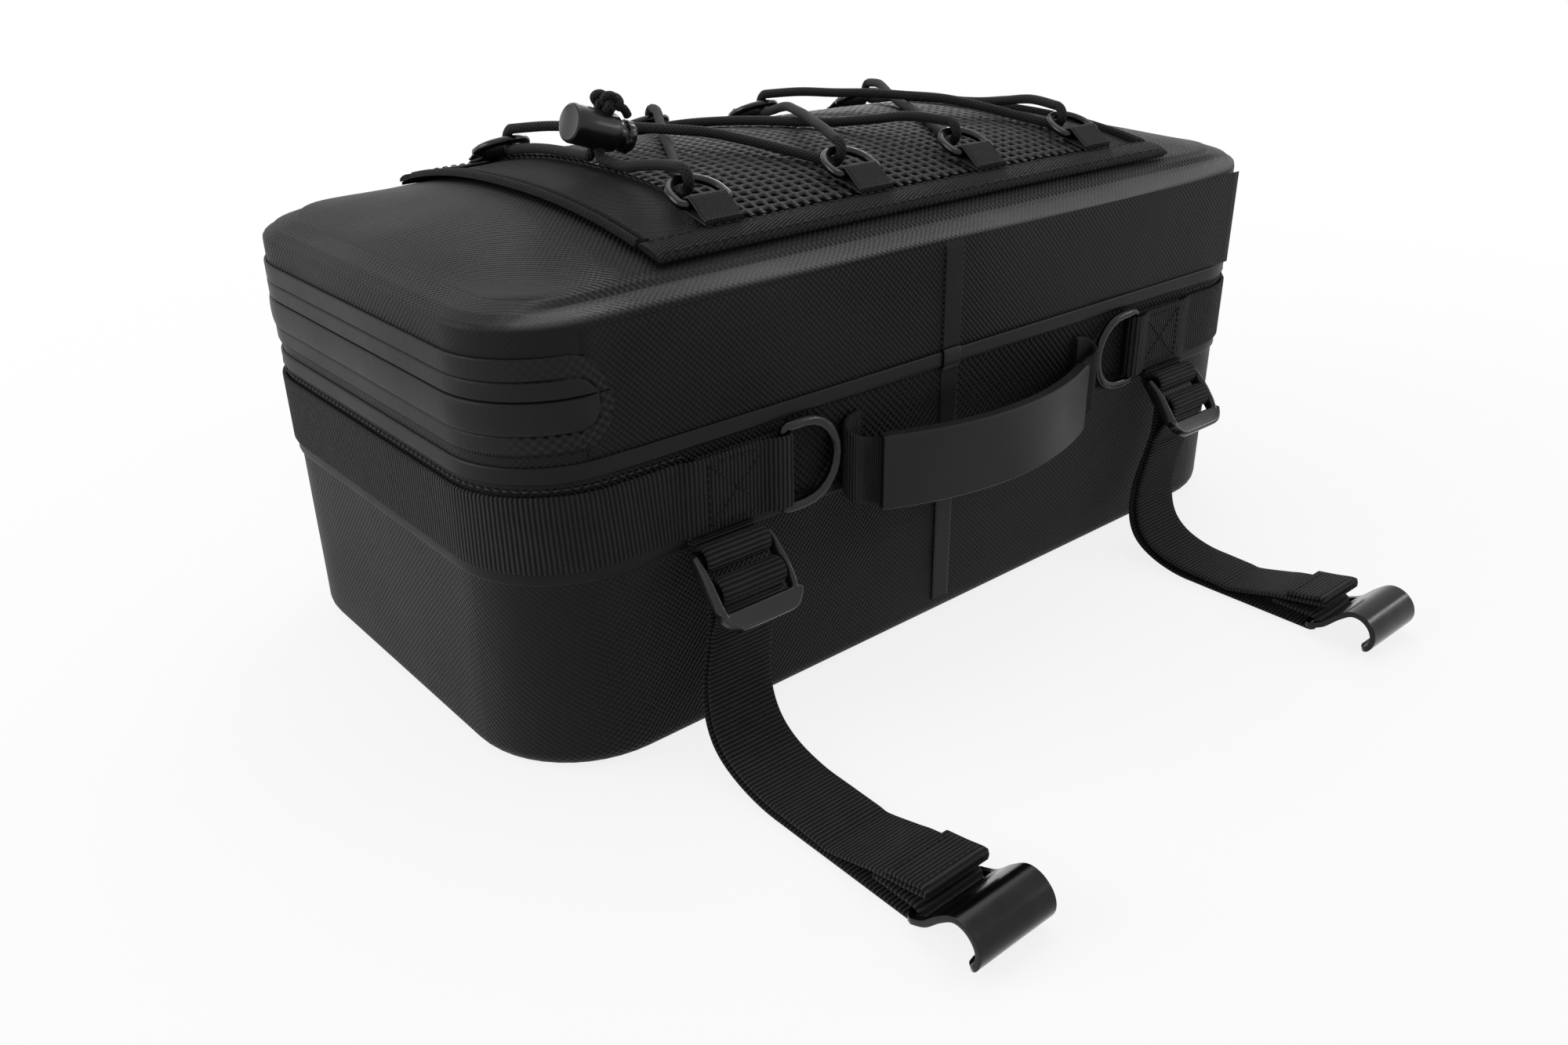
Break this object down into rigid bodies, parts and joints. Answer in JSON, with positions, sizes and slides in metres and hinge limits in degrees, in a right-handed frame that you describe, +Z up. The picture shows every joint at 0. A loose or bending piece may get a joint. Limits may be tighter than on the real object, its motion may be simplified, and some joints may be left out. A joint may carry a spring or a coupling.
{
  "type": "tail bag",
  "caption": "Rectangular motorcycle tail bag with a zipped domed lid, laced mesh panel, padded handle and adjustable straps with hooks",
  "frame": {"origin": "middle of the underside, at the height the bag stands on", "axes": "+X along the bag, +Y from the handle side towards the zip's meeting point, +Z up"},
  "size_m": [0.3788, 0.4648, 0.1925],
  "materials": {
    "shell": "black polyester fabric coated on foam",
    "trim": "black heat-welded coated tape",
    "board": "dark plastic sheet",
    "webbing": "black woven polyester webbing",
    "metal": "black coated metal",
    "plastic": "black moulded plastic",
    "grip": "black moulded rubber",
    "panel": "black twill",
    "mesh": "black knitted net",
    "cord": "black braided elastic cord",
    "steel": "spring steel wire"
  },
  "bodies": {
    "bag_body": {"body_shell": "shell", "base_board": "board", "weld_flange": "trim", "zip_tape_lower": "trim", "band_left": "webbing", "band_right": "webbing", "tab_front_left": "webbing", "tab_front_right": "webbing", "tab_back_left": "webbing", "tab_back_right": "webbing"},
    "lid": {"lid_shell": "shell", "zip_tape_upper": "trim", "top_panel": "panel", "mesh_pocket": "mesh", "binding_front": "webbing", "binding_back": "webbing", "piping_left": "webbing", "piping_right": "webbing", "lace_ring_front_1": "metal", "lace_tab_front_1": "webbing", "lace_ring_front_2": "metal", "lace_tab_front_2": "webbing", "lace_ring_front_3": "metal", "lace_tab_front_3": "webbing", "lace_ring_front_4": "metal", "lace_tab_front_4": "webbing", "lace_ring_back_1": "metal", "lace_tab_back_1": "webbing", "lace_ring_back_2": "metal", "lace_tab_back_2": "webbing", "lace_ring_back_3": "metal", "lace_tab_back_3": "webbing", "lace_ring_back_4": "metal", "lace_tab_back_4": "webbing", "elastic_cord": "cord", "lock_barrel": "plastic", "lock_spring": "steel"},
    "slider_left": {"zip_slider_left": "metal"},
    "slider_right": {"zip_slider_right": "metal"},
    "pull_left": {"zip_pull_left": "webbing"},
    "pull_right": {"zip_pull_right": "webbing"},
    "handle": {"handle_webbing": "webbing", "handle_grip": "grip"},
    "plunger": {"lock_plunger": "plastic"},
    "d_ring_front_left": {"d_ring_front_left": "metal"},
    "strap_front_left": {"ladder_lock_front_left": "plastic", "strap_front_left": "webbing"},
    "hook_front_left": {"hook_front_left": "metal"},
    "d_ring_front_right": {"d_ring_front_right": "metal"},
    "strap_front_right": {"ladder_lock_front_right": "plastic", "strap_front_right": "webbing"},
    "hook_front_right": {"hook_front_right": "metal"},
    "d_ring_back_left": {"d_ring_back_left": "metal"},
    "strap_back_left": {"ladder_lock_back_left": "plastic", "strap_back_left": "webbing"},
    "hook_back_left": {"hook_back_left": "metal"},
    "d_ring_back_right": {"d_ring_back_right": "metal"},
    "strap_back_right": {"ladder_lock_back_right": "plastic", "strap_back_right": "webbing"},
    "hook_back_right": {"hook_back_right": "metal"}
  },
  "joints": [
    {"name": "lid_hinge", "type": "hinge", "parent": "bag_body", "child": "lid", "pos_m": [0, -0.09805, 0.124], "axis": [1, 0, 0], "range_deg": [0, 110]},
    {"name": "slider_left_slide", "type": "slide", "parent": "bag_body", "child": "slider_left", "axis": [-1, 0, 0], "range_m": [0, 0.125]},
    {"name": "pull_left_hinge", "type": "hinge", "parent": "slider_left", "child": "pull_left", "pos_m": [-0.009, 0.10325, 0.125], "axis": [-1, 0, 0], "range_deg": [-120, 0]},
    {"name": "slider_right_slide", "type": "slide", "parent": "bag_body", "child": "slider_right", "axis": [1, 0, 0], "range_m": [0, 0.125]},
    {"name": "pull_right_hinge", "type": "hinge", "parent": "slider_right", "child": "pull_right", "pos_m": [0.009, 0.10325, 0.125], "axis": [-1, 0, 0], "range_deg": [-120, 0]},
    {"name": "d_ring_front_left_hinge", "type": "hinge", "parent": "bag_body", "child": "d_ring_front_left", "pos_m": [-0.0925, -0.09985, 0.085], "axis": [0, 0, 1], "range_deg": [-95, 0]},
    {"name": "strap_front_left_hinge", "type": "hinge", "parent": "bag_body", "child": "strap_front_left", "pos_m": [-0.117, -0.1035, 0.0665], "axis": [1, 0, 0], "range_deg": [-75, 0]},
    {"name": "hook_front_left_hinge", "type": "hinge", "parent": "strap_front_left", "child": "hook_front_left", "pos_m": [-0.1275, -0.2065, 0.0039], "axis": [1, 0, 0], "range_deg": [-24, 0]},
    {"name": "d_ring_front_right_hinge", "type": "hinge", "parent": "bag_body", "child": "d_ring_front_right", "pos_m": [0.0925, -0.09985, 0.085], "axis": [0, 0, -1], "range_deg": [-95, 0]},
    {"name": "strap_front_right_hinge", "type": "hinge", "parent": "bag_body", "child": "strap_front_right", "pos_m": [0.117, -0.1035, 0.0665], "axis": [1, 0, 0], "range_deg": [-75, 0]},
    {"name": "hook_front_right_hinge", "type": "hinge", "parent": "strap_front_right", "child": "hook_front_right", "pos_m": [0.0925, -0.19725, 0.0039], "axis": [1, 0, 0], "range_deg": [-24, 0]},
    {"name": "d_ring_back_left_hinge", "type": "hinge", "parent": "bag_body", "child": "d_ring_back_left", "pos_m": [-0.0925, 0.09985, 0.085], "axis": [0, 0, -1], "range_deg": [-95, 0]},
    {"name": "strap_back_left_hinge", "type": "hinge", "parent": "bag_body", "child": "strap_back_left", "pos_m": [-0.117, 0.1035, 0.0665], "axis": [-1, 0, 0], "range_deg": [-75, 0]},
    {"name": "hook_back_left_hinge", "type": "hinge", "parent": "strap_back_left", "child": "hook_back_left", "pos_m": [-0.108, 0.2065, 0.0039], "axis": [-1, 0, 0], "range_deg": [-24, 0]},
    {"name": "d_ring_back_right_hinge", "type": "hinge", "parent": "bag_body", "child": "d_ring_back_right", "pos_m": [0.0925, 0.09985, 0.085], "axis": [0, 0, 1], "range_deg": [-95, 0]},
    {"name": "strap_back_right_hinge", "type": "hinge", "parent": "bag_body", "child": "strap_back_right", "pos_m": [0.117, 0.1035, 0.0665], "axis": [-1, 0, 0], "range_deg": [-75, 0]},
    {"name": "hook_back_right_hinge", "type": "hinge", "parent": "strap_back_right", "child": "hook_back_right", "pos_m": [0.108, 0.2065, 0.0039], "axis": [-1, 0, 0], "range_deg": [-24, 0]},
    {"name": "handle_hinge", "type": "hinge", "parent": "bag_body", "child": "handle", "pos_m": [0, -0.09655, 0.096], "axis": [1, 0, 0], "range_deg": [-60, 0]},
    {"name": "plunger_slide", "type": "slide", "parent": "lid", "child": "plunger", "axis": [-0.9511, 0, 0.309], "range_m": [0, 0.003], "stiffness_N_per_m": 600, "springref_m": -0.002, "deforming": ["lock_spring"]}
  ]
}
